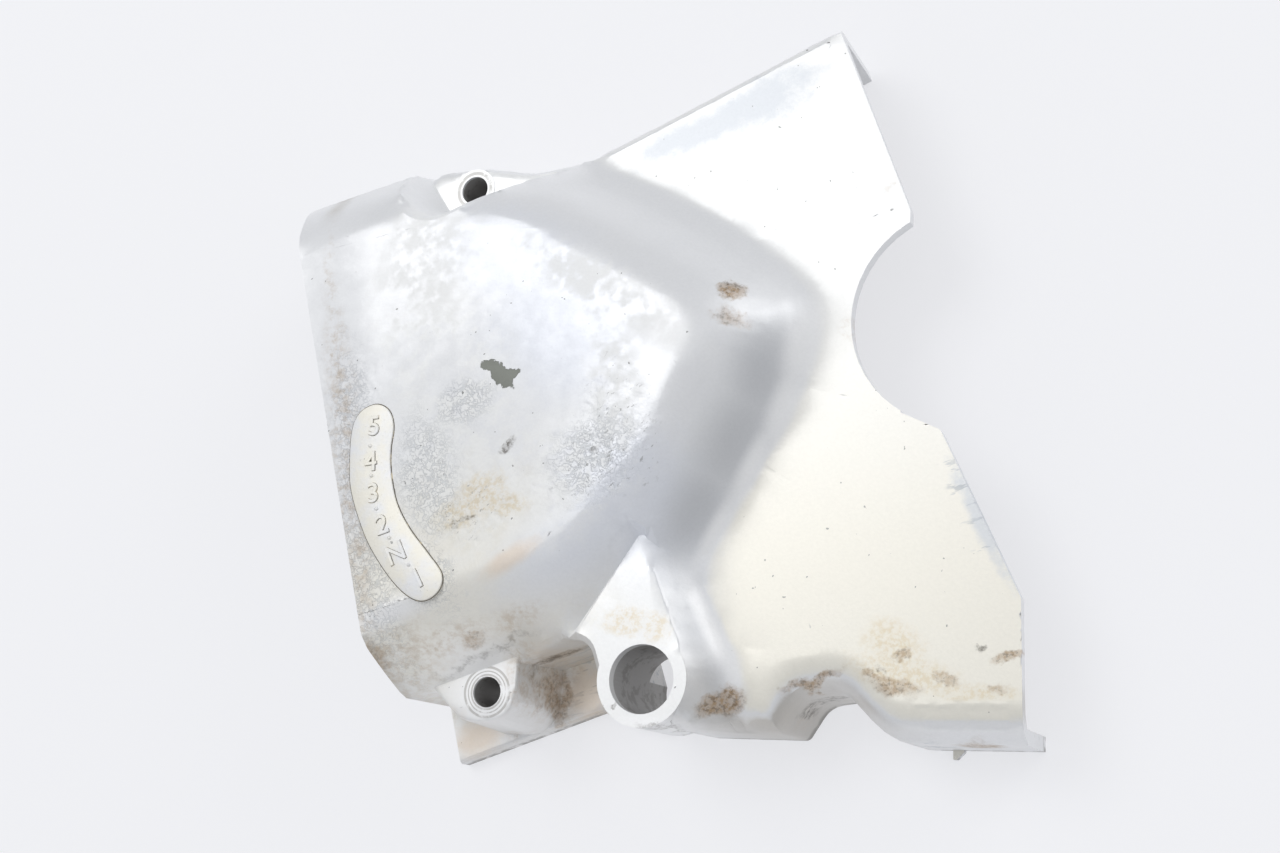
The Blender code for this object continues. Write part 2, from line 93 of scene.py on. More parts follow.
# Corroded places on top of the dome: how far each reaches, and how bad it is
LEFT_EDGE_TOP = (-0.0836, 0.1075)
LEFT_EDGE_LOW = (-0.0622, -0.0020)
EDGE_BAND = (0.006, 0.013)
EDGE_BAND_END = (0.068, 0.084)
Pitted = namedtuple("Pitted", "x y long wide share")
PITTED = (
    Pitted(-0.0500, 0.0450, 0.014, 0.020, 0.85),
    Pitted(-0.0700, 0.0350, 0.014, 0.030, 1.0),
    Pitted(-0.0060, 0.0540, 0.012, 0.020, 0.75),
    Pitted(-0.0380, 0.0380, 0.012, 0.012, 0.7),
    Pitted(-0.0200, 0.0420, 0.014, 0.010, 0.45),
)
PITTED_FADE = (0.5, 1.0)
PITTED_FROM = DOME_HEIGHT - 0.004
LEAST_PITTED = 0.02

# Relief that is pressed into the corroded places
PRESSED_FROM = DOME_HEIGHT - 0.003
PRESSED_SLOPE = 0.6
CRATER_SCALE = 600.0
CRATER_DEPTH = 0.00022
RIDGE_SCALE = 400.0
RIDGE_SHIFT = Vector((7.0, 3.0, 0.0))
RIDGE_START = 0.7
RIDGE_DEPTH = 0.00030
PIT_SCALE = 650.0
PIT_WIDTH = 0.32
PIT_DEPTH = 0.00012

# Gear-position pad: a raised bean on the dome, with characters that stand on it
BEAN_RISE = 0.00035
BEAN_TOP = DOME_HEIGHT + BEAN_RISE
BEAN_EDGE = 0.00018
BEAN_EDGE_TURNS = (30.0, 60.0, 90.0)
BEAN_SINK = 0.0006
BEAN_CREASE = math.radians(50)
BEAN_OUTLINE = (
    (-0.0660, 0.0627), (-0.0700, 0.0610), (-0.0718, 0.0570), (-0.0718, 0.0500), (-0.0710, 0.0433),
    (-0.0682, 0.0359), (-0.0644, 0.0289), (-0.0585, 0.0216), (-0.0533, 0.0174), (-0.0493, 0.0166),
    (-0.0460, 0.0188), (-0.0456, 0.0225), (-0.0495, 0.0273), (-0.0546, 0.0330), (-0.0585, 0.0392),
    (-0.0606, 0.0464), (-0.0611, 0.0518), (-0.0608, 0.0573), (-0.0625, 0.0612),
)
BEAN_STEPS = 6

# Characters: a font's size is 1.37 times the height of its digits
LETTER_HEIGHT = 0.0047
FONT_SIZE = LETTER_HEIGHT * 1.37
LETTER_RISE = 0.00026
LETTER_EDGE = 0.00010
LETTER_EDGE_STEPS = 2
LETTER_THINNED = -0.00002
# Outline of dirt and painted shadow round each character's foot: how far it reaches past the character
LETTER_DIRT_AND_SHADOW = 0.00017
Letter = namedtuple("Letter", "sign x y turn")
LETTERS = (
    Letter("5", -0.0658, 0.0573, 2.0),
    Letter("4", -0.0659, 0.0488, 5.0),
    Letter("3", -0.0647, 0.0414, 8.0),
    Letter("2", -0.0617, 0.0339, 17.0),
    Letter("N", -0.0575, 0.0272, 27.0),
    Letter("1", -0.0513, 0.0214, 31.0),
)
DOT_RADIUS = 0.00050
DOT_FLATNESS = 0.7
DOTS = ((-0.0665, 0.0528), (-0.0656, 0.0457), (-0.0636, 0.0379), (-0.0596, 0.0310), (-0.0541, 0.0247))
# Dirt and painted shadow round the bean's edge: its width and thickness
DIRT_AND_SHADOW_LINE = 0.00022
DIRT_AND_SHADOW_FILM = 0.00003

# Paint colours
SILVER = (0.89, 0.895, 0.905)
CREAM_SILVER = (0.93, 0.90, 0.81)
COOL_SILVER = (0.84, 0.865, 0.93)
# Painted shade for the crease at the foot of the dome and the band beside the shaft's pad
SHADE_GREY = (0.60, 0.61, 0.63)
# Painted highlight
LIT_WHITE = (0.97, 0.97, 0.97)
GREYED = (0.68, 0.71, 0.75)
# Dust and painted shade on steep walls
DUST_AND_SHADE_BROWN = (0.48, 0.44, 0.38)
# White of the oxide bloom, also laid on the upward flats as painted light
BLOOM_AND_LIGHT_WHITE = (0.96, 0.96, 0.94)
BORE_GREY = (0.42, 0.41, 0.40)
CURL_GREY = (0.40, 0.44, 0.48)
SPECK_GREY = (0.30, 0.30, 0.29)
BARE_METAL = (0.27, 0.28, 0.25)
RING_GREY = (0.36, 0.34, 0.31)
DIRT_GREY = (0.22, 0.21, 0.19)
RUST_BROWN = (0.42, 0.28, 0.15)
DARK_BROWN = (0.09, 0.07, 0.05)
OCHRE = (0.76, 0.63, 0.40)
PALE_ORANGE = (0.90, 0.70, 0.50)
SLOPE_BROWN = (0.55, 0.44, 0.32)
# Dark brown of the dirt and painted shadow round the bean and the characters
LETTER_BROWN = (0.17, 0.15, 0.12)
CAST_DULL = (0.50, 0.50, 0.49)
CAST_PALE = (0.62, 0.62, 0.61)
CAST_DARK = (0.36, 0.35, 0.33)
DARK_GRAIN = 0.955
PALE_GRAIN = 1.04

# Gloss of each surface, and how deep its fine relief is
PAINT_METAL = 0.35
PAINT_ROUGHNESS = 0.40
DULL_ROUGHNESS = 0.30
PAINT_RELIEF = 0.00005
PAD_ROUGHNESS = 0.5
PAD_RELIEF = 0.00004
DIRT_ROUGHNESS = 0.8
CAST_METAL = 0.6
CAST_ROUGHNESS = 0.55
CAST_RELIEF = 0.00010

# Broad areas of wear, tone, painted light and painted shade, kept as a share at each point of the mesh:
# ellipses with half axes and turn in degrees
Area = namedtuple("Area", "x y long wide turn")
AREAS = {
    "cream": (
        Area(-0.0450, 0.0200, 0.030, 0.022, 20.0),
    ),
    # Painted shade: the dark crease along the foot of the dome's right slope, and the grey band between the
    # shaft's pad and its fillet
    "shaded": (
        Area(0.0250, 0.0670, 0.0045, 0.0110, -14.0),
        Area(0.0190, 0.0520, 0.0050, 0.0130, -28.0),
        Area(0.0105, 0.0370, 0.0045, 0.0110, -29.0),
        Area(0.0120, 0.0065, 0.0020, 0.0120, 22.0),
    ),
    # Painted highlights and painted light: the bright fillet bands beside the shaft's pad and along the foot
    # of the dome's right slope, the rim under the shaft's ring, the low bolt's face and a strip low on the
    # dome's left
    "lit": (
        Area(0.0145, 0.0100, 0.0015, 0.0100, 29.0),
        Area(0.0190, 0.0005, 0.0013, 0.0040, 10.0),
        Area(0.0328, 0.0740, 0.0028, 0.0090, -12.0),
        Area(0.0285, 0.0600, 0.0022, 0.0090, -22.0),
        Area(0.0215, 0.0470, 0.0018, 0.0090, -27.0),
        Area(0.0140, 0.0335, 0.0016, 0.0080, -29.0),
        Area(0.0000, -0.0093, 0.0080, 0.0012, 0.0),
        Area(-0.0411, -0.0021, 0.0100, 0.0100, 0.0),
        Area(-0.0590, 0.0140, 0.0100, 0.0025, 18.0),
    ),
    # Dust and painted shade on the steep walls: the notch, the pocket, the low walls and the left edge
    "dusty_and_shaded": (
        Area(0.0300, -0.0070, 0.0180, 0.0110, 0.0),
        Area(-0.0230, 0.0010, 0.0130, 0.0120, 0.0),
        Area(-0.0300, -0.0080, 0.0200, 0.0030, 20.0),
        Area(0.0620, -0.0042, 0.0260, 0.0030, 0.0),
        Area(-0.0400, -0.0080, 0.0120, 0.0060, 0.0),
        Area(-0.0750, 0.0600, 0.0026, 0.0600, 11.0),
    ),
    "greyed": (
        Area(0.0100, 0.1300, 0.018, 0.0035, 25.0),
        Area(0.0220, 0.1345, 0.012, 0.0050, 22.0),
        Area(-0.0010, 0.1265, 0.008, 0.0030, 25.0),
        Area(0.0720, 0.0330, 0.002, 0.0120, 25.0),
    ),
    "cool": (
        Area(-0.0307, 0.0948, 0.020, 0.010, -25.0),
        Area(-0.0195, 0.0772, 0.018, 0.014, -25.0),
        Area(-0.0030, 0.0400, 0.014, 0.016, 30.0),
        Area(-0.0150, 0.0300, 0.020, 0.008, 35.0),
    ),
    "bloom": (
        Area(-0.0560, 0.0930, 0.011, 0.024, -8.0),
        Area(-0.0480, 0.0700, 0.014, 0.020, 25.0),
        Area(-0.0420, 0.0480, 0.017, 0.022, 0.0),
        Area(-0.0060, 0.0620, 0.006, 0.018, 5.0),
        Area(-0.0250, 0.0420, 0.026, 0.012, 20.0),
        Area(-0.0110, 0.0870, 0.024, 0.006, -33.0),
    ),
    "speckled": (
        Area(-0.0030, 0.0540, 0.007, 0.014, 15.0),
        Area(-0.0100, 0.0460, 0.010, 0.007, 30.0),
        Area(-0.0390, 0.0370, 0.008, 0.006, 30.0),
    ),
    "curled": (
        Area(-0.0510, 0.0450, 0.007, 0.014, 15.0),
        Area(-0.0430, 0.0620, 0.007, 0.005, 15.0),
        Area(-0.0100, 0.0480, 0.010, 0.008, 30.0),
        Area(-0.0715, 0.0560, 0.005, 0.020, 11.0),
        Area(-0.0650, 0.0240, 0.006, 0.022, 16.0),
        Area(-0.0500, 0.0230, 0.006, 0.010, 40.0),
    ),
    "dull": (
        Area(-0.0450, 0.0480, 0.030, 0.030, 0.0),
        Area(-0.0720, 0.0480, 0.009, 0.060, 11.0),
    ),
    "ochre": (
        Area(-0.0370, 0.0400, 0.0060, 0.0044, 30.0),
        Area(-0.0420, 0.0360, 0.0050, 0.0034, 20.0),
        Area(-0.0310, 0.0375, 0.0050, 0.0024, 0.0),
        Area(-0.0041, 0.0125, 0.0050, 0.0030, 0.0),
        Area(0.0030, 0.0109, 0.0030, 0.0030, 0.0),
        Area(0.0530, 0.0085, 0.0060, 0.0040, -20.0),
        Area(0.0560, 0.0020, 0.0110, 0.0034, -12.0),
        Area(0.0700, -0.0020, 0.0090, 0.0014, 0.0),
    ),
    "warm": (
        Area(-0.0290, 0.0256, 0.0070, 0.0020, 30.0),
        Area(-0.0540, -0.0110, 0.0060, 0.0040, 20.0),
        Area(-0.0255, 0.0000, 0.0060, 0.0060, 0.0),
    ),
    "browned": (
        Area(-0.0715, 0.0440, 0.0040, 0.0380, 11.0),
        Area(-0.0320, 0.0020, 0.0040, 0.0090, 0.0),
        Area(-0.0600, 0.0040, 0.0100, 0.0060, 30.0),
        Area(-0.0480, 0.0080, 0.0120, 0.0026, 18.0),
        Area(-0.0300, 0.0130, 0.0060, 0.0024, 20.0),
    ),
}

# Small places, drawn where they are. A place on a wall has a height too.
Spot = namedtuple("Spot", "x y long wide turn share z high", defaults=(0.0, 1.0))
BARE = (
    Spot(-0.0368, 0.0697, 0.0030, 0.0018, -30.0, 1.0),
    Spot(-0.0338, 0.0670, 0.0032, 0.0026, -25.0, 1.0),
    Spot(-0.0310, 0.0682, 0.0018, 0.0012, 20.0, 1.0),
)
SCUFFED = (
    Spot(-0.0180, 0.0020, 0.014, 0.010, 20.0, 0.9, 0.0100, 0.012),
    Spot(0.0585, -0.0110, 0.008, 0.008, 0.0, 0.9, 0.0110, 0.007),
    Spot(0.0730, -0.0110, 0.006, 0.008, 0.0, 0.6, 0.0090, 0.006),
    Spot(0.0673, 0.0423, 0.003, 0.006, 25.0, 0.8),
    Spot(0.0725, 0.0294, 0.003, 0.006, 25.0, 0.7),
)
RUST = (
    Spot(0.0184, 0.0846, 0.0024, 0.0019, 0.0, 1.0),
    Spot(0.0194, 0.0788, 0.0034, 0.0019, -25.0, 0.6),
    Spot(0.0531, -0.0006, 0.0048, 0.0018, -16.0, 0.8),
    Spot(0.0552, 0.0056, 0.0016, 0.0009, 30.0, 0.7),
    Spot(0.0484, 0.0017, 0.0018, 0.0008, -20.0, 0.7),
    Spot(0.0643, 0.0002, 0.0026, 0.0012, -10.0, 0.5),
    Spot(-0.0414, 0.0092, 0.0034, 0.0014, 20.0, 0.45),
    Spot(-0.0640, 0.0045, 0.0022, 0.0034, 0.0, 0.45),
    Spot(0.0773, 0.0052, 0.0026, 0.0011, 10.0, 0.9),
    Spot(0.0755, -0.0012, 0.0020, 0.0010, 0.0, 0.5),
    Spot(0.0697, -0.0100, 0.0044, 0.0080, 0.0, 0.9, 0.0150, 0.0050),
    Spot(0.0360, 0.0006, 0.0066, 0.0012, 22.0, 0.85),
    Spot(0.0165, -0.0044, 0.0042, 0.0024, 25.0, 1.0),
    Spot(-0.0318, -0.0030, 0.0016, 0.0070, 0.0, 0.7, 0.0090, 0.0090),
    Spot(-0.0250, 0.0040, 0.0070, 0.0060, 0.0, 0.6, 0.0190, 0.0030),
)
GRIME = (
    Spot(-0.0304, 0.0516, 0.0011, 0.0019, -30.0, 1.0),
    Spot(0.0711, 0.0071, 0.0010, 0.0008, 0.0, 0.8),
    Spot(0.0186, 0.0858, 0.0016, 0.0008, -15.0, 0.6),
    Spot(0.0174, 0.0797, 0.0011, 0.0009, 0.0, 0.6),
    Spot(-0.0260, 0.0050, 0.0070, 0.0060, 0.0, 0.8, 0.0185, 0.0024),
    Spot(0.0030, -0.0094, 0.0036, 0.0008, -12.0, 0.5),
    Spot(-0.0061, -0.0058, 0.0008, 0.0005, 0.0, 0.8),
    Spot(0.0312, -0.0049, 0.0036, 0.0008, 42.0, 0.8, 0.0120, 0.0050),
    Spot(0.0376, -0.0020, 0.0046, 0.0010, 11.0, 0.8, 0.0120, 0.0040),
    Spot(-0.0410, 0.0345, 0.0026, 0.0008, 20.0, 0.9),
    Spot(-0.0440, 0.0330, 0.0012, 0.0009, 0.0, 0.7),
    Spot(-0.0090, 0.0495, 0.0012, 0.0008, 20.0, 0.6),
    Spot(0.0503, 0.0030, 0.0012, 0.0006, -20.0, 0.8),
    Spot(-0.0400, 0.0060, 0.0130, 0.0008, 21.0, 0.4),
)
BROWNED = (
    Spot(-0.0750, 0.0600, 0.0014, 0.0400, 11.0, 1.0),
    Spot(-0.0672, 0.0240, 0.0014, 0.0300, 11.0, 1.0),
    Spot(-0.0415, -0.0092, 0.0040, 0.0014, 18.0, 0.7, 0.0060, 0.0040),
    Spot(0.0426, 0.0771, 0.0014, 0.0030, 0.0, 0.7),
    Spot(0.0525, 0.1099, 0.0024, 0.0012, 40.0, 0.6),
    Spot(0.0400, -0.0080, 0.0100, 0.0030, 0.0, 0.6, 0.0120, 0.0080),
)

# Washer marks round the bolts: centre, radius and width
WORN_RINGS = (
    (TOP_BOLT, 0.0044, 0.0006),
    (LOW_BOLT, 0.0039, 0.0003),
    (LOW_BOLT, 0.0047, 0.0002),
    (LOW_BOLT, 0.0056, 0.0004),
)
RING_CORE = 0.4

# Insides of the bores: axis, radius and the height under which the bare metal shows
SHAFT_PALE_EDGE = 0.0022
BOLT_PALE_EDGE = 0.0004
BORES = (
    ((0.0, 0.0), SHAFT_BORE / 2.0, PAD_HEIGHT - SHAFT_PALE_EDGE),
    (TOP_BOLT, BOLT_BORE / 2.0, FACE_HEIGHT - BOLT_PALE_EDGE),
    (LOW_BOLT, BOLT_BORE / 2.0, FACE_HEIGHT - BOLT_PALE_EDGE),
)
BORE_EDGE = 0.0003
BORE_MARGIN = (0.00012, 0.00002)

# Where coats of paint set in, from the first value to the second: heights, then places in plan
ON_DOME = (DOME_HEIGHT - 0.0060, DOME_HEIGHT - 0.0015)
UNDER_DOME = (DOME_HEIGHT - 0.0050, DOME_HEIGHT - 0.0070)
ON_PANEL = (FACE_HEIGHT + 0.0020, FACE_HEIGHT + 0.0008)
NEAR_RIM = (0.0035, 0.0010)
RIGHT_OF_SHAFT = (0.0, 0.020)
UNDER_TOP_EDGE = (0.105, 0.020)
ON_FRONT = (0.006, -0.004)

# The same for the upward part of the skin's normal
FACES_UP = (0.90, 0.985)
ON_SLOPES = (0.985, 0.88)
ON_STEEP_SLOPES = (0.93, 0.70)
ON_WALLS = (0.75, 0.35)

# Noise patterns: scale, detail, roughness and the values between which a pattern sets in
Pattern = namedtuple("Pattern", "scale detail roughness low high", defaults=(0.0, 1.0))
PATTERNS = {
    "wander": Pattern(150.0, 2.0, 0.5),
    "shiver": Pattern(800.0, 3.0, 0.6),
    "ragged": Pattern(210.0, 5.0, 0.7),
    "fine": Pattern(1500.0, 2.0, 0.6),
    "middle": Pattern(330.0, 4.0, 0.6),
    "broad": Pattern(60.0, 3.0, 0.55),
    "strokes": Pattern(420.0, 3.0, 0.65),
    "loose curls": Pattern(330.0, 2.0, 0.6),
    "tight curls": Pattern(750.0, 2.0, 0.6),
    "specks": Pattern(900.0, 3.0, 0.7, 0.60, 0.68),
    "stray specks": Pattern(800.0, 1.0, 0.4, 0.785, 0.805),
    "scuffs": Pattern(520.0, 3.0, 0.7, 0.56, 0.62),
    "mottled": Pattern(700.0, 4.0, 0.7, 0.42, 0.62),
    "grit": Pattern(1100.0, 3.0, 0.6, 0.52, 0.60),
    "bore stains": Pattern(260.0, 4.0, 0.7, 0.50, 0.62),
    "pad sand": Pattern(1300.0, 3.0, 0.6, 0.60, 0.75),
    "pad clouds": Pattern(160.0, 3.0, 0.6, 0.35, 0.70),
    "pad specks": Pattern(420.0, 2.0, 0.5, 0.72, 0.76),
    "gathered dirt and shadow": Pattern(420.0, 3.0, 0.6, 0.28, 0.50),
    "cast grain": Pattern(700.0, 4.0, 0.65, 0.5, 0.75),
    "cast clouds": Pattern(70.0, 3.0, 0.5, 0.35, 0.70),
}
NOISE_MEAN = 0.5
WANDER_REACH = 0.006
SHIVER_REACH = 0.0022
CURL_WIDTH = 0.030
CURL_CORE = 0.3
AREA_RIM = 0.5

# Light: each lamp with its place, size and power. All of them point at the same place.
WORLD_LIGHT = 0.48
WORLD_WHITE = (0.94, 0.96, 1.0, 1.0)
FLOOR_REACH = 3.0
FLOOR_WHITE = (0.93, 0.935, 0.95, 1.0)
FLOOR_ROUGHNESS = 0.8
FLOOR_GLOW = (0.965, 0.97, 1.0, 1.0)
FLOOR_LIFT = 0.66
LAMP_AIM = Vector((0.0, 0.0, 0.02))
LAMPS = (
    ("key", (-0.52, 0.48, 1.25), 0.75, 5.2),
    ("top", (0.30, 0.30, 1.30), 0.50, 0.5),
    ("side", (1.00, 0.85, 0.45), 0.80, 3.9),
    ("front", (-0.20, -1.20, 0.35), 0.80, 1.0),
)

# Camera
CAMERA_AT = Vector((0.14863, -0.03736, 0.38680))
CAMERA_RIGHT = Vector((0.9223, 0.0401, -0.3844))
CAMERA_UP = Vector((0.0548, 0.9710, 0.2329))
LENS_MM = 50.0
NEAREST_SEEN = 0.01


def place(x, y, z=0.0):
    """Point in the part's frame from a place measured from the shift shaft."""
    return SHAFT + Vector((x, y, z))


def linked(name, data):
    made = bpy.data.objects.new(name, data)
    bpy.context.scene.collection.objects.link(made)
    return made


def on_casting(name, data):
    """Piece that moves with the casting."""
    made = linked(name, data)
    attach(made, "root")


def drawn(name, mesh):
    """Mesh data from a mesh that has been drawn."""
    data = bpy.data.meshes.new(name)
    mesh.to_mesh(data)
    mesh.free()
    return data


def split_long_edges(mesh, wanted):
    """Split edges until each is shorter than the length wanted at its middle."""
    for _ in range(SPLIT_ROUNDS):
        long_edges = []
        for edge in mesh.edges:
            if edge.calc_length() > wanted(edge):
                long_edges.append(edge)
        if not long_edges:
            return
        bmesh.ops.subdivide_edges(mesh, edges=long_edges, cuts=1, use_grid_fill=False)
        bmesh.ops.triangulate(mesh, faces=[face for face in mesh.faces if len(face.verts) > 3])


def smooth_step(low, high, value):
    share = min(max((value - low) / (high - low), 0.0), 1.0)
    return share * share * (3.0 - 2.0 * share)


def distance_to_left_edge(x, y):
    along = Vector(LEFT_EDGE_TOP) - Vector(LEFT_EDGE_LOW)
    inward = Vector((along.y, -along.x)).normalized()
    return inward.dot(Vector((x, y)) - Vector(LEFT_EDGE_LOW))


def pitting(x, y):
    """How corroded the skin is at a place, from 0 to 1."""
    near_edge = 1.0 - smooth_step(*EDGE_BAND, distance_to_left_edge(x, y))
    worst = near_edge * (1.0 - smooth_step(*EDGE_BAND_END, y))
    for spot in PITTED:
        reach = math.hypot((x - spot.x) / spot.long, (y - spot.y) / spot.wide)
        worst = max(worst, spot.share * (1.0 - smooth_step(*PITTED_FADE, reach)))
    return worst


def length_on_skin(edge):
    """Short edges on the side that shows, long ones on the hidden side."""
    if any(face.normal.z > OUTER_SIDE for face in edge.link_faces):
        return FINE_EDGE
    return COARSE_EDGE


def length_in_pits(edge):
    """The shortest edges where the skin is pitted."""
    middle = (edge.verts[0].co + edge.verts[1].co) / 2.0 - SHAFT
    if middle.z > PITTED_FROM and pitting(middle.x, middle.y) > LEAST_PITTED:
        return PITTED_EDGE
    return COARSE_EDGE


def pit_skin(mesh):
    """Press craters, ridges and pin holes into the corroded part of the dome."""
    for vert in mesh.verts:
        if vert.normal.z < PRESSED_SLOPE or vert.co.z < PRESSED_FROM:
            continue
        here = vert.co - SHAFT
        share = pitting(here.x, here.y)
        if share <= 0.0:
            continue
        crater = noise.noise(here * CRATER_SCALE)
        ridge = 1.0 - abs(noise.noise(here * RIDGE_SCALE + RIDGE_SHIFT)) * 2.0
        pit = noise.voronoi(here * PIT_SCALE)[0][0]
        depth = CRATER_DEPTH * max(0.0, crater) + PIT_DEPTH * max(0.0, 1.0 - pit / PIT_WIDTH)
        depth += RIDGE_DEPTH * max(0.0, ridge - RIDGE_START)
        vert.co.z -= depth * share


def mark_sharp_edges(mesh):
    """Flag the solid's crisp edges before they are split."""
    for edge in mesh.edges:
        edge.smooth = edge.is_manifold and edge.calc_face_angle(0.0) < SHARP_ANGLE


def smooth_skin(mesh):
    """Even out the facets of the solid and soften its slopes, keeping its sharp edges where they are."""
    mesh.normal_update()
    mesh.verts.index_update()
    points = np.array([vert.co for vert in mesh.verts])
    ends = np.array([[vert.index for vert in edge.verts] for edge in mesh.edges])
    corners = np.array([[vert.index for vert in face.verts] for face in mesh.faces])
    up = np.array([vert.normal.z for vert in mesh.verts])
    free = up > OUTER_SIDE
    for edge in mesh.edges:
        if not edge.smooth:
            free[[vert.index for vert in edge.verts]] = False
    even_out(points, ends, free)
    heights = points[:, 2]
    soft = free & (up > GENTLE_SLOPE) & (heights > SOFT_FROM)
    soften(heights, soft, *pulls(points[:, :2], corners))
    for vert, point in zip(mesh.verts, points):
        vert.co = point


def even_out(points, ends, free):
    """Move free points towards the middle of their neighbours and back out, so that no volume is lost."""
    for round_number in range(SMOOTH_ROUNDS):
        weight = SHRINK_WEIGHT if round_number % 2 == 0 else SWELL_WEIGHT
        for axis in range(3):
            here = points[:, axis]
            here[free] += weight * (around(here, ends) - here)[free]


def soften(heights, soft, pairs, pull):
    """Level the soft points' heights with their neighbours', never below the face."""
    for _ in range(SOFT_ROUNDS):
        heights[soft] += SOFT_WEIGHT * (around(heights, pairs, pull) - heights)[soft]
        heights[soft] = np.maximum(heights[soft], FACE_HEIGHT)


def around(values, ends, pull=1.0):
    """Mean value of each point's neighbours, each with the pull of the edge to it."""
    size = len(values)
    first, second = ends.T
    pull = np.ones(len(ends)) * pull
    total = np.bincount(first, pull * values[second], size)
    total = total + np.bincount(second, pull * values[first], size)
    return total / (np.bincount(first, pull, size) + np.bincount(second, pull, size))


def pulls(plan, corners):
    """Every triangle's edges with the pull that keeps an even slope even, whatever the shapes in plan."""
    pairs = []
    pull = []
    for tip, left, right in ((0, 1, 2), (1, 2, 0), (2, 0, 1)):
        to_left = plan[corners[:, left]] - plan[corners[:, tip]]
        to_right = plan[corners[:, right]] - plan[corners[:, tip]]
        area = np.abs(to_left[:, 0] * to_right[:, 1] - to_left[:, 1] * to_right[:, 0])
        cotangent = (to_left * to_right).sum(axis=1) / np.maximum(area, LEAST_AREA)
        pairs.append(corners[:, (left, right)])
        pull.append(np.clip(cotangent, LEAST_PULL, MOST_PULL))
    return np.concatenate(pairs), np.concatenate(pull)


def mark_areas(data):
    """Write for every point how deep it lies in each area of wear, tone, painted light and painted shade: 1
    in the middle, less further out.
    """
    values = np.empty(len(data.vertices) * 3)
    data.vertices.foreach_get("co", values)
    points = values.reshape(-1, 3) - np.array(SHAFT)
    for name, areas in AREAS.items():
        deepest = np.zeros(len(points))
        for area in areas:
            turn = math.radians(area.turn)
            x = points[:, 0] - area.x
            y = points[:, 1] - area.y
            along = (x * math.cos(turn) + y * math.sin(turn)) / area.long
            across = (y * math.cos(turn) - x * math.sin(turn)) / area.wide
            deepest = np.maximum(deepest, 1.0 - (1.0 - AREA_RIM) * np.hypot(along, across))
        layer = data.attributes.new("wear_and_light_" + name, "FLOAT", "POINT")
        layer.data.foreach_set("value", deepest)


def casting_skin():
    """Fine copy of the casting that takes its node's place."""
    mesh = bmesh.new()
    mesh.from_mesh(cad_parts["sprocket_cover"].data)
    bmesh.ops.triangulate(mesh, faces=mesh.faces)
    bmesh.ops.remove_doubles(mesh, verts=mesh.verts, dist=SAME_POINT)
    mark_sharp_edges(mesh)
    split_long_edges(mesh, length_on_skin)
    smooth_skin(mesh)
    split_long_edges(mesh, length_in_pits)
    mesh.normal_update()
    pit_skin(mesh)
    for vert in mesh.verts:
        for axis in range(3):
            vert.co[axis] = min(max(vert.co[axis], cad_box[0][axis]), cad_box[1][axis])
    for face in mesh.faces:
        face.smooth = True
    data = drawn("casting_skin", mesh)
    mark_areas(data)
    skin = linked("casting_skin", data)
    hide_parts("sprocket_cover")
    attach(skin, "root")
    return skin


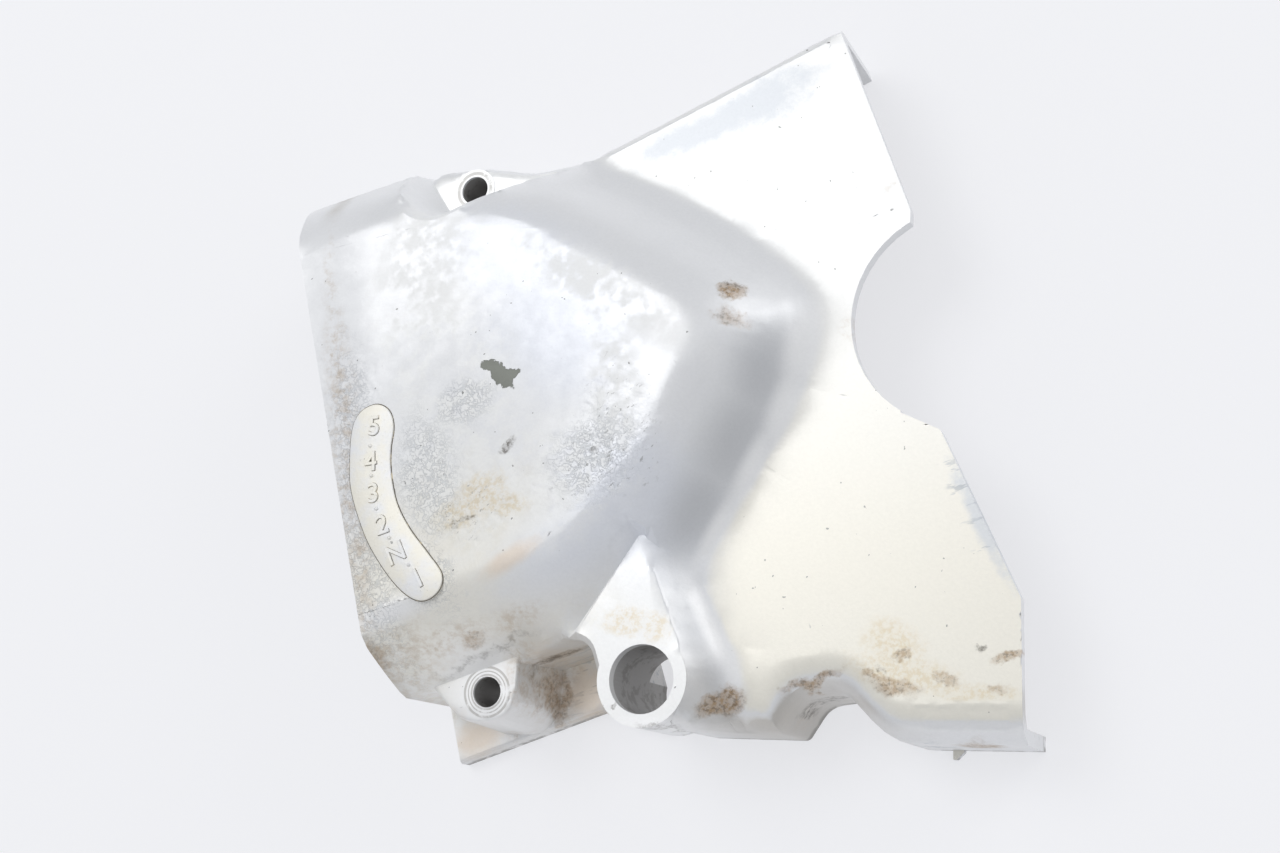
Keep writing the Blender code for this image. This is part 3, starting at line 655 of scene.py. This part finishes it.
class Sheet:
    """A material being written: adds shader nodes and joins them."""

    def __init__(self, name):
        self.material = bpy.data.materials.new(name)
        self.material.use_nodes = True
        self.tree = self.material.node_tree
        in_part = self.add("ShaderNodeTexCoord").outputs["Object"]
        self.place = self.vector("SUBTRACT", in_part, tuple(SHAFT))

    def add(self, kind, **settings):
        node = self.tree.nodes.new(kind)
        for name, value in settings.items():
            setattr(node, name, value)
        return node

    def feed(self, socket, value):
        if isinstance(value, bpy.types.NodeSocket):
            self.tree.links.new(value, socket)
        else:
            socket.default_value = value

    def math(self, operation, first, second=0.0):
        node = self.add("ShaderNodeMath", operation=operation)
        self.feed(node.inputs[0], first)
        self.feed(node.inputs[1], second)
        return node.outputs[0]

    def times(self, *values):
        whole = values[0]
        for value in values[1:]:
            whole = self.math("MULTIPLY", whole, value)
        return whole

    def vector(self, operation, first, second):
        node = self.add("ShaderNodeVectorMath", operation=operation)
        self.feed(node.inputs[0], first)
        self.feed(node.inputs[1], second)
        return node.outputs[0]

    def scaled(self, vector, factor):
        node = self.add("ShaderNodeVectorMath", operation="SCALE")
        self.feed(node.inputs[0], vector)
        self.feed(node.inputs["Scale"], factor)
        return node.outputs[0]

    def length(self, vector):
        node = self.add("ShaderNodeVectorMath", operation="LENGTH")
        self.feed(node.inputs[0], vector)
        return node.outputs["Value"]

    def parts(self, vector):
        node = self.add("ShaderNodeSeparateXYZ")
        self.feed(node.inputs[0], vector)
        return node.outputs

    def step(self, value, low, high):
        """0 below low, 1 above high and a soft rise between; high may be the lower one."""
        node = self.add("ShaderNodeMapRange", interpolation_type="SMOOTHSTEP")
        self.feed(node.inputs["Value"], value)
        node.inputs["From Min"].default_value = min(low, high)
        node.inputs["From Max"].default_value = max(low, high)
        node.inputs["To Min"].default_value = 0.0 if low < high else 1.0
        node.inputs["To Max"].default_value = 1.0 if low < high else 0.0
        return node.outputs["Result"]

    def noise(self, name, where=None, colour=False):
        """A noise pattern as it is, from 0 to 1."""
        pattern = PATTERNS[name]
        node = self.add("ShaderNodeTexNoise")
        self.feed(node.inputs["Vector"], where or self.place)
        node.inputs["Scale"].default_value = pattern.scale
        node.inputs["Detail"].default_value = pattern.detail
        node.inputs["Roughness"].default_value = pattern.roughness
        return node.outputs["Color" if colour else "Fac"]

    def sets_in(self, name, value):
        """1 where a noise pattern has set in and 0 where it has not."""
        return self.step(value, PATTERNS[name].low, PATTERNS[name].high)

    def pattern(self, name, where=None):
        return self.sets_in(name, self.noise(name, where))

    def blend(self, share, first, second):
        """Colour or number between two, by a share."""
        node = self.add("ShaderNodeMix", data_type="RGBA", clamp_factor=True)
        self.feed(node.inputs["Factor"], share)
        self.feed(node.inputs["A"], colour_of(first))
        self.feed(node.inputs["B"], colour_of(second))
        return node.outputs["Result"]

    def finish(self, colour, roughness, metallic=0.0):
        """Give the shader its values and hand over the material."""
        shader = self.tree.nodes["Principled BSDF"]
        self.feed(shader.inputs["Base Color"], colour)
        self.feed(shader.inputs["Roughness"], roughness)
        self.feed(shader.inputs["Metallic"], metallic)
        return self.material

    def relief(self, height, distance):
        """Let the light see a height that is too fine for the mesh."""
        bump = self.add("ShaderNodeBump")
        bump.inputs["Strength"].default_value = 1.0
        bump.inputs["Distance"].default_value = distance
        self.feed(bump.inputs["Height"], height)
        self.feed(self.tree.nodes["Principled BSDF"].inputs["Normal"], bump.outputs["Normal"])


def colour_of(value):
    if isinstance(value, bpy.types.NodeSocket):
        return value
    if isinstance(value, float):
        return (value, value, value, 1.0)
    return (*value, 1.0)


class CastingPaint(Sheet):
    """Worn silver paint of the casting, laid on in coats that each go over what is there; some coats are
    painted light and painted shade.
    """

    def __init__(self):
        super().__init__("worn_silver_paint")
        self.colour = SILVER
        self.x, self.y, self.height = self.parts(self.place)
        self.normal_z = self.parts(self.add("ShaderNodeNewGeometry").outputs["Normal"])[2]
        self.faces_up = self.step(self.normal_z, *FACES_UP)
        self.on_dome = self.step(self.height, *ON_DOME)
        self.fine = self.noise("fine")
        self.middle = self.noise("middle")
        self.mottled = self.pattern("mottled")
        self.broken = self.math("ADD", self.times(self.mottled, 0.75), 0.25)
        self.ragged = self.math("SUBTRACT", self.noise("ragged"), NOISE_MEAN)
        moved = self.vector("ADD", self.place, self.strayed("wander", WANDER_REACH))
        self.torn_place = self.vector("ADD", moved, self.strayed("shiver", SHIVER_REACH))
        self.bloom = self.times(self.area("bloom", fade=0.3), self.flakes(), self.on_dome, 0.70)
        self.curl_area = self.area("curled", fade=0.25)
        self.curls = self.math("MAXIMUM", self.winding("loose curls"), self.winding("tight curls"))
        self.speck_area = self.area("speckled", fade=0.25)
        self.bare = self.regions(BARE, fade=0.05)

    def strayed(self, name, reach):
        """Shift to any side by a noise pattern."""
        shift = self.vector("SUBTRACT", self.noise(name, colour=True), (NOISE_MEAN,) * 3)
        return self.scaled(shift, reach)

    def stretched(self, turn, length):
        """Place turned and shortened along one way, so that what is drawn on it comes out as long strokes."""
        node = self.add("ShaderNodeMapping", vector_type="TEXTURE")
        self.feed(node.inputs["Vector"], self.place)
        node.inputs["Rotation"].default_value = (0.0, 0.0, math.radians(turn))
        node.inputs["Scale"].default_value = (length, 1.0, 1.0)
        return node.outputs[0]

    def flakes(self):
        """Torn white patches drawn out in one direction."""
        strokes = self.noise("strokes", self.stretched(turn=40.0, length=3.0))
        patches = self.math("ADD", self.times(self.noise("broad"), 0.7), self.times(strokes, 0.3))
        return self.step(self.math("ADD", self.times(self.middle, 0.6), patches), 0.69, 0.90)

    def winding(self, name):
        """Thin winding lines."""
        gap = self.math("ABSOLUTE", self.math("SUBTRACT", self.noise(name), NOISE_MEAN))
        return self.step(gap, CURL_WIDTH, CURL_WIDTH * CURL_CORE)

    def region(self, spot, fade):
        """1 inside an ellipsoid and 0 outside, with a torn rim."""
        node = self.add("ShaderNodeMapping", vector_type="TEXTURE")
        self.feed(node.inputs["Vector"], self.torn_place)
        node.inputs["Location"].default_value = (spot.x, spot.y, spot.z)
        node.inputs["Rotation"].default_value = (0.0, 0.0, math.radians(spot.turn))
        node.inputs["Scale"].default_value = (spot.long, spot.wide, spot.high)
        return self.step(self.length(node.outputs[0]), 1.0 + fade, 1.0 - fade)

    def regions(self, spots, fade):
        """Every place in a list, each with its own share."""
        shares = []
        for spot in spots:
            shares.append(self.math("MULTIPLY", self.region(spot, fade), spot.share))
        whole = shares[0]
        for share in shares[1:]:
            whole = self.math("MAXIMUM", whole, share)
        return whole

    def area(self, name, fade, tear=0.6):
        """1 in one of the broad areas of wear, tone, painted light and painted shade, and 0 outside, with a
        ragged rim.
        """
        node = self.add("ShaderNodeAttribute", attribute_name="wear_and_light_" + name)
        torn = self.math("ADD", node.outputs["Fac"], self.times(self.ragged, tear))
        return self.step(torn, AREA_RIM - fade, AREA_RIM + fade)

    def from_axis(self, centre):
        """Distance in plan from an upright axis."""
        gap = self.vector("SUBTRACT", self.place, (*centre, 0.0))
        return self.length(self.vector("MULTIPLY", gap, (1.0, 1.0, 0.0)))

    def ring(self, centre, radius, width):
        """1 on a ring round an axis and 0 beside it."""
        off = self.math("ABSOLUTE", self.math("SUBTRACT", self.from_axis(centre), radius))
        return self.step(off, width, width * RING_CORE)

    def disc(self, centre, radius):
        """1 within a radius of an axis and 0 outside."""
        outside, inside = BORE_MARGIN
        return self.step(self.from_axis(centre), radius + outside, radius + inside)

    def coat(self, colour, *masks, share=1.0):
        """Lay a colour on by a share, where every mask lets it through."""
        shown = self.times(*masks)
        if share < 1.0:
            shown = self.times(shown, share)
        self.colour = self.blend(shown, self.colour, colour)

    def broad_tones(self):
        """Cream flats and a cooler dome, with painted light and shade: whiter upward flats, painted shade on
        the greyer slopes, dust and painted shade on steep walls, and painted highlights on the bright folds.
        """
        # Painted light: flats that face up below the dome are whitened
        self.coat(BLOOM_AND_LIGHT_WHITE, self.faces_up, self.step(self.height, *UNDER_DOME), share=0.6)
        on_panel = self.times(self.step(self.height, *ON_PANEL), self.step(self.x, *RIGHT_OF_SHAFT))
        cream = self.times(self.faces_up, on_panel, self.step(self.y, *UNDER_TOP_EDGE))
        cream_area = self.times(self.area("cream", fade=0.3), 0.8)
        self.coat(CREAM_SILVER, self.math("MAXIMUM", cream, cream_area))
        self.coat(COOL_SILVER, self.area("cool", fade=0.3, tear=0.4), share=0.7)
        # Painted shade on the slopes within the shaded areas
        on_slopes = self.step(self.normal_z, *ON_SLOPES)
        self.coat(SHADE_GREY, self.area("shaded", fade=0.45, tear=0.0), on_slopes, share=0.8)
        # Dust and painted shade on the steep walls of these areas
        on_steep_slopes = self.step(self.normal_z, *ON_STEEP_SLOPES)
        self.coat(DUST_AND_SHADE_BROWN, self.area("dusty_and_shaded", fade=0.5, tear=0.2), on_steep_slopes, share=0.7)
        # Painted highlights and painted light in the lit areas
        self.coat(LIT_WHITE, self.area("lit", fade=0.4, tear=0.0))
        self.coat(GREYED, self.area("greyed", fade=0.25, tear=0.9), share=0.8)

    def wear(self):
        """White flakes, curls and specks of the corroded dome, bare metal and scuffs."""
        self.coat(BLOOM_AND_LIGHT_WHITE, self.bloom)
        self.coat(CURL_GREY, self.curl_area, self.curls, share=0.30)
        specks = self.pattern("specks", self.stretched(turn=40.0, length=2.0))
        self.coat(SPECK_GREY, self.speck_area, specks, self.on_dome, share=0.60)
        self.coat(SPECK_GREY, self.pattern("stray specks"), self.faces_up, share=0.8)
        self.coat(BARE_METAL, self.bare)
        scuffs = self.pattern("scuffs", self.stretched(turn=15.0, length=5.0))
        self.coat(CURL_GREY, self.regions(SCUFFED, fade=0.5), scuffs, share=0.7)

    def stains(self):
        """Ochre, orange and brown stains, rust with grit in it, and grime."""
        self.coat(OCHRE, self.area("ochre", fade=0.25), self.broken, share=0.55)
        self.coat(PALE_ORANGE, self.area("warm", fade=0.3, tear=0.4), share=0.45)
        browned = self.math("MAXIMUM", self.area("browned", fade=0.3), self.regions(BROWNED, fade=0.6))
        clouds = self.math("ADD", self.times(self.middle, 0.7), self.times(self.mottled, 0.12))
        self.coat(SLOPE_BROWN, browned, self.step(clouds, 0.28, 0.60), share=0.55)
        rust = self.regions(RUST, fade=0.45)
        nearly_whole = self.math("ADD", self.times(self.mottled, 0.4), 0.6)
        self.coat(RUST_BROWN, rust, nearly_whole, share=0.9)
        self.coat(DARK_BROWN, rust, self.pattern("grit"), share=0.45)
        self.coat(DARK_BROWN, self.regions(GRIME, fade=0.5), self.broken, share=0.9)

    def rings_and_bores(self):
        """Washer marks round the bolts, and the bare insides of the bores."""
        for centre, radius, width in WORN_RINGS:
            ring = self.ring(centre, radius, width)
            self.coat(RING_GREY, ring, self.step(self.middle, 0.30, 0.50), self.faces_up, share=0.6)
        for centre, radius, rim in BORES:
            inside = self.times(self.disc(centre, radius), self.step(self.height, rim, rim - BORE_EDGE))
            self.coat(BORE_GREY, inside)
            self.coat(DARK_BROWN, inside, self.pattern("bore stains"), share=0.4)

    def rim_dirt(self):
        """Dirt along the foot of the front wall."""
        near_rim = self.step(self.height, *NEAR_RIM)
        patchy = self.step(self.middle, 0.40, 0.54)
        on_walls = self.step(self.normal_z, *ON_WALLS)
        self.coat(DIRT_GREY, near_rim, patchy, on_walls, self.step(self.y, *ON_FRONT), share=0.7)

    def grained(self):
        """The coats so far with a fine grain over them."""
        node = self.add("ShaderNodeMix", data_type="RGBA", blend_type="MULTIPLY")
        self.feed(node.inputs["Factor"], 1.0)
        self.feed(node.inputs["A"], self.colour)
        self.feed(node.inputs["B"], self.blend(self.fine, DARK_GRAIN, PALE_GRAIN))
        return node.outputs["Result"]

    def roughness(self):
        dull = self.math("MAXIMUM", self.bloom, self.area("dull", fade=0.4))
        return self.math("ADD", PAINT_ROUGHNESS, self.times(dull, DULL_ROUGHNESS))

    def fine_relief(self):
        """Sandy paint, lumpy where it is corroded, with sunken curls and bare places."""
        corroded = self.math("MAXIMUM", self.speck_area, self.curl_area)
        sandy = self.times(self.fine, self.math("ADD", self.times(corroded, 0.6), 0.3))
        height = self.math("ADD", sandy, self.times(self.middle, corroded, 3.0))
        height = self.math("SUBTRACT", height, self.times(self.curl_area, self.curls, 1.2))
        return self.math("SUBTRACT", height, self.times(self.bare, 2.5))


def paint_material():
    """Worn silver paint: cool on the dome, cream on the flats, with flakes, bare metal, rust, dirt, and
    painted light and shade.
    """
    paint = CastingPaint()
    paint.broad_tones()
    paint.wear()
    paint.stains()
    paint.rings_and_bores()
    paint.rim_dirt()
    paint.relief(paint.fine_relief(), PAINT_RELIEF)
    return paint.finish(paint.grained(), paint.roughness(), PAINT_METAL)


def pad_material():
    """Cream paint of the gear-position pad, sandy, with a few specks."""
    sheet = Sheet("cream_paint")
    sand = sheet.noise("pad sand")
    colour = sheet.blend(sheet.pattern("pad clouds"), CREAM_SILVER, SILVER)
    colour = sheet.blend(sheet.times(sheet.sets_in("pad sand", sand), 0.25), colour, RING_GREY)
    colour = sheet.blend(sheet.times(sheet.pattern("pad specks"), 0.8), colour, SPECK_GREY)
    sheet.relief(sand, PAD_RELIEF)
    return sheet.finish(colour, PAD_ROUGHNESS, PAINT_METAL)


def dirt_and_shadow_material():
    """Brown dirt that has gathered round raised edges, with painted shadow at their foot."""
    sheet = Sheet("gathered_dirt_and_shadow")
    colour = sheet.blend(sheet.pattern("gathered dirt and shadow"), OCHRE, LETTER_BROWN)
    return sheet.finish(colour, DIRT_ROUGHNESS)


def inner_material():
    """Bare cast aluminium of the side that faces the engine."""
    sheet = Sheet("cast_aluminium")
    grain = sheet.noise("cast grain")
    colour = sheet.blend(sheet.pattern("cast clouds"), CAST_DULL, CAST_PALE)
    colour = sheet.blend(sheet.times(sheet.sets_in("cast grain", grain), 0.5), colour, CAST_DARK)
    sheet.relief(grain, CAST_RELIEF)
    return sheet.finish(colour, CAST_ROUGHNESS, CAST_METAL)


def closed_curve(points, steps):
    """Smooth closed line through the points."""
    line = []
    count = len(points)
    for index in range(count):
        before, here, after, beyond = (Vector(points[(index + shift) % count]) for shift in (-1, 0, 1, 2))
        for step in range(steps):
            t = step / steps
            line.append(0.5 * (
                2.0 * here + (after - before) * t
                + (2.0 * before - 5.0 * here + 4.0 * after - beyond) * t * t
                + (3.0 * here - before - 3.0 * after + beyond) * t * t * t
            ))
    return line


def moved_in(line, distance):
    """Closed line moved towards its left side, which is inside for a line that runs anticlockwise."""
    moved = []
    count = len(line)
    for index, here in enumerate(line):
        along = (line[(index + 1) % count] - line[index - 1]).normalized()
        moved.append(here + Vector((-along.y, along.x)) * distance)
    return moved


def bean_loops(mesh, rings):
    """Copies of the bean's outline, each moved in and up from the dome."""
    outline = closed_curve(BEAN_OUTLINE, BEAN_STEPS)
    loops = []
    for inset, rise in rings:
        loops.append([mesh.verts.new(place(p.x, p.y, DOME_HEIGHT + rise)) for p in moved_in(outline, inset)])
    return loops


def join_loops(mesh, lower, upper):
    for low, high in zip(lower, upper):
        for index in range(len(low)):
            mesh.faces.new((low[index - 1], low[index], high[index], high[index - 1]))


def bean_pad(material):
    """Raised bean with a small round edge."""
    rings = [(0.0, -BEAN_SINK), (0.0, BEAN_RISE - BEAN_EDGE)]
    for turn in BEAN_EDGE_TURNS:
        angle = math.radians(turn)
        inset = BEAN_EDGE * (1.0 - math.cos(angle))
        rings.append((inset, BEAN_RISE - BEAN_EDGE + BEAN_EDGE * math.sin(angle)))
    mesh = bmesh.new()
    loops = bean_loops(mesh, rings)
    join_loops(mesh, loops, loops[1:])
    mesh.faces.new(loops[-1])
    mesh.faces.new(list(reversed(loops[0])))
    bmesh.ops.triangulate(mesh, faces=[face for face in mesh.faces if len(face.verts) > 4])
    bmesh.ops.recalc_face_normals(mesh, faces=mesh.faces)
    data = drawn("gear_pad", mesh)
    data.shade_smooth()
    data.set_sharp_from_angle(angle=BEAN_CREASE)
    data.materials.append(material)
    on_casting("gear_pad", data)


def dirt_and_shadow_line(material):
    """Thin film of dirt and painted shadow that follows the bean's edge."""
    rings = ((-DIRT_AND_SHADOW_LINE, 0.0), (-DIRT_AND_SHADOW_LINE, DIRT_AND_SHADOW_FILM), (DIRT_AND_SHADOW_FILM, DIRT_AND_SHADOW_FILM), (DIRT_AND_SHADOW_FILM, 0.0))
    mesh = bmesh.new()
    loops = bean_loops(mesh, rings)
    join_loops(mesh, loops, loops[1:] + loops[:1])
    bmesh.ops.recalc_face_normals(mesh, faces=mesh.faces)
    data = drawn("gear_pad_dirt_and_shadow", mesh)
    data.materials.append(material)
    on_casting("gear_pad_dirt_and_shadow", data)


def letter_shape(name, letter, widened, extrude, bevel, material):
    """One character as a solid that stands on the bean."""
    curve = bpy.data.curves.new(name, "FONT")
    curve.body = letter.sign
    curve.align_x = "CENTER"
    curve.align_y = "CENTER"
    curve.size = FONT_SIZE
    curve.extrude = extrude
    curve.bevel_depth = bevel
    curve.bevel_resolution = LETTER_EDGE_STEPS
    curve.offset = widened
    draft = linked("draft", curve)
    draft.location = place(letter.x, letter.y, BEAN_TOP)
    draft.rotation_euler = (0.0, 0.0, math.radians(letter.turn))
    bpy.context.view_layer.update()
    graph = bpy.context.evaluated_depsgraph_get()
    data = bpy.data.meshes.new_from_object(draft.evaluated_get(graph))
    data.transform(draft.matrix_world)
    bpy.data.objects.remove(draft)
    data.materials.clear()
    data.materials.append(material)
    on_casting(name, data)


def dot(name, x, y, material):
    """Small flattened ball, half sunk into the bean."""
    mesh = bmesh.new()
    bmesh.ops.create_icosphere(mesh, subdivisions=3, radius=DOT_RADIUS)
    for vert in mesh.verts:
        vert.co.z *= DOT_FLATNESS
        vert.co += place(x, y, BEAN_TOP)
    data = drawn(name, mesh)
    data.shade_smooth()
    data.materials.append(material)
    on_casting(name, data)


def letters(material, dirt):
    """Raised characters and dots along the bean, with dirt and painted shadow round the foot of each
    character.
    """
    for number, letter in enumerate(LETTERS):
        letter_shape("gear_letter_%d" % number, letter, LETTER_THINNED, LETTER_RISE, LETTER_EDGE, material)
        letter_shape("gear_letter_dirt_%d" % number, letter, LETTER_DIRT_AND_SHADOW, DIRT_AND_SHADOW_FILM, 0.0, dirt)
    for number, (x, y) in enumerate(DOTS):
        dot("gear_dot_%d" % number, x, y, material)


def floor_material():
    """Pale matt floor, lifted towards white wherever the camera sees it, in a mirror image too."""
    material = bpy.data.materials.new("pale_floor")
    material.use_nodes = True
    nodes = material.node_tree.nodes
    links = material.node_tree.links
    matt = nodes["Principled BSDF"]
    matt.inputs["Base Color"].default_value = FLOOR_WHITE
    matt.inputs["Roughness"].default_value = FLOOR_ROUGHNESS
    glow = nodes.new("ShaderNodeEmission")
    glow.inputs["Color"].default_value = FLOOR_GLOW
    path = nodes.new("ShaderNodeLightPath")
    seen = path.outputs["Is Camera Ray"]
    for ray in ("Is Glossy Ray", "Is Transmission Ray"):
        either = nodes.new("ShaderNodeMath")
        either.operation = "MAXIMUM"
        links.new(seen, either.inputs[0])
        links.new(path.outputs[ray], either.inputs[1])
        seen = either.outputs[0]
    lift = nodes.new("ShaderNodeMath")
    lift.operation = "MULTIPLY"
    lift.inputs[1].default_value = FLOOR_LIFT
    links.new(seen, lift.inputs[0])
    mixed = nodes.new("ShaderNodeMixShader")
    links.new(lift.outputs[0], mixed.inputs["Fac"])
    links.new(matt.outputs[0], mixed.inputs[1])
    links.new(glow.outputs[0], mixed.inputs[2])
    links.new(mixed.outputs[0], nodes["Material Output"].inputs["Surface"])
    return material


def pale_floor():
    mesh = bmesh.new()
    bmesh.ops.create_grid(mesh, x_segments=1, y_segments=1, size=FLOOR_REACH)
    floor = linked("floor", drawn("floor", mesh))
    floor.data.materials.append(floor_material())


def surroundings():
    """Even white light from all sides."""
    world = bpy.data.worlds.new("world")
    bpy.context.scene.world = world
    world.use_nodes = True
    background = world.node_tree.nodes["Background"]
    background.inputs["Color"].default_value = WORLD_WHITE
    background.inputs["Strength"].default_value = WORLD_LIGHT


def soft_lamp(name, where, size, power):
    light = bpy.data.lights.new(name, "AREA")
    light.size = size
    light.energy = power
    lamp = linked(name, light)
    lamp.location = where
    aim = LAMP_AIM - Vector(where)
    lamp.rotation_euler = aim.to_track_quat("-Z", "Y").to_euler()


def camera():
    data = bpy.data.cameras.new("camera")
    data.lens = LENS_MM
    data.clip_start = NEAREST_SEEN
    made = linked("camera", data)
    right = CAMERA_RIGHT.normalized()
    up = (CAMERA_UP - right * CAMERA_UP.dot(right)).normalized()
    back = right.cross(up)
    rotation = Matrix((right, up, back)).transposed().to_4x4()
    made.matrix_world = Matrix.Translation(place(*CAMERA_AT)) @ rotation
    bpy.context.scene.camera = made


def main():
    bpy.context.scene.view_settings.view_transform = "Standard"
    paint = paint_material()
    skin = casting_skin()
    skin.data.materials.append(paint)
    skin.data.materials.append(inner_material())
    for face in skin.data.polygons:
        face.material_index = 1 if face.normal.z < INNER_SIDE else 0
    cream = pad_material()
    # Dirt and painted shadow round the bean's edge and the characters' feet
    dirt = dirt_and_shadow_material()
    bean_pad(cream)
    dirt_and_shadow_line(dirt)
    letters(cream, dirt)
    pale_floor()
    surroundings()
    for lamp in LAMPS:
        soft_lamp(*lamp)
    camera()


main()
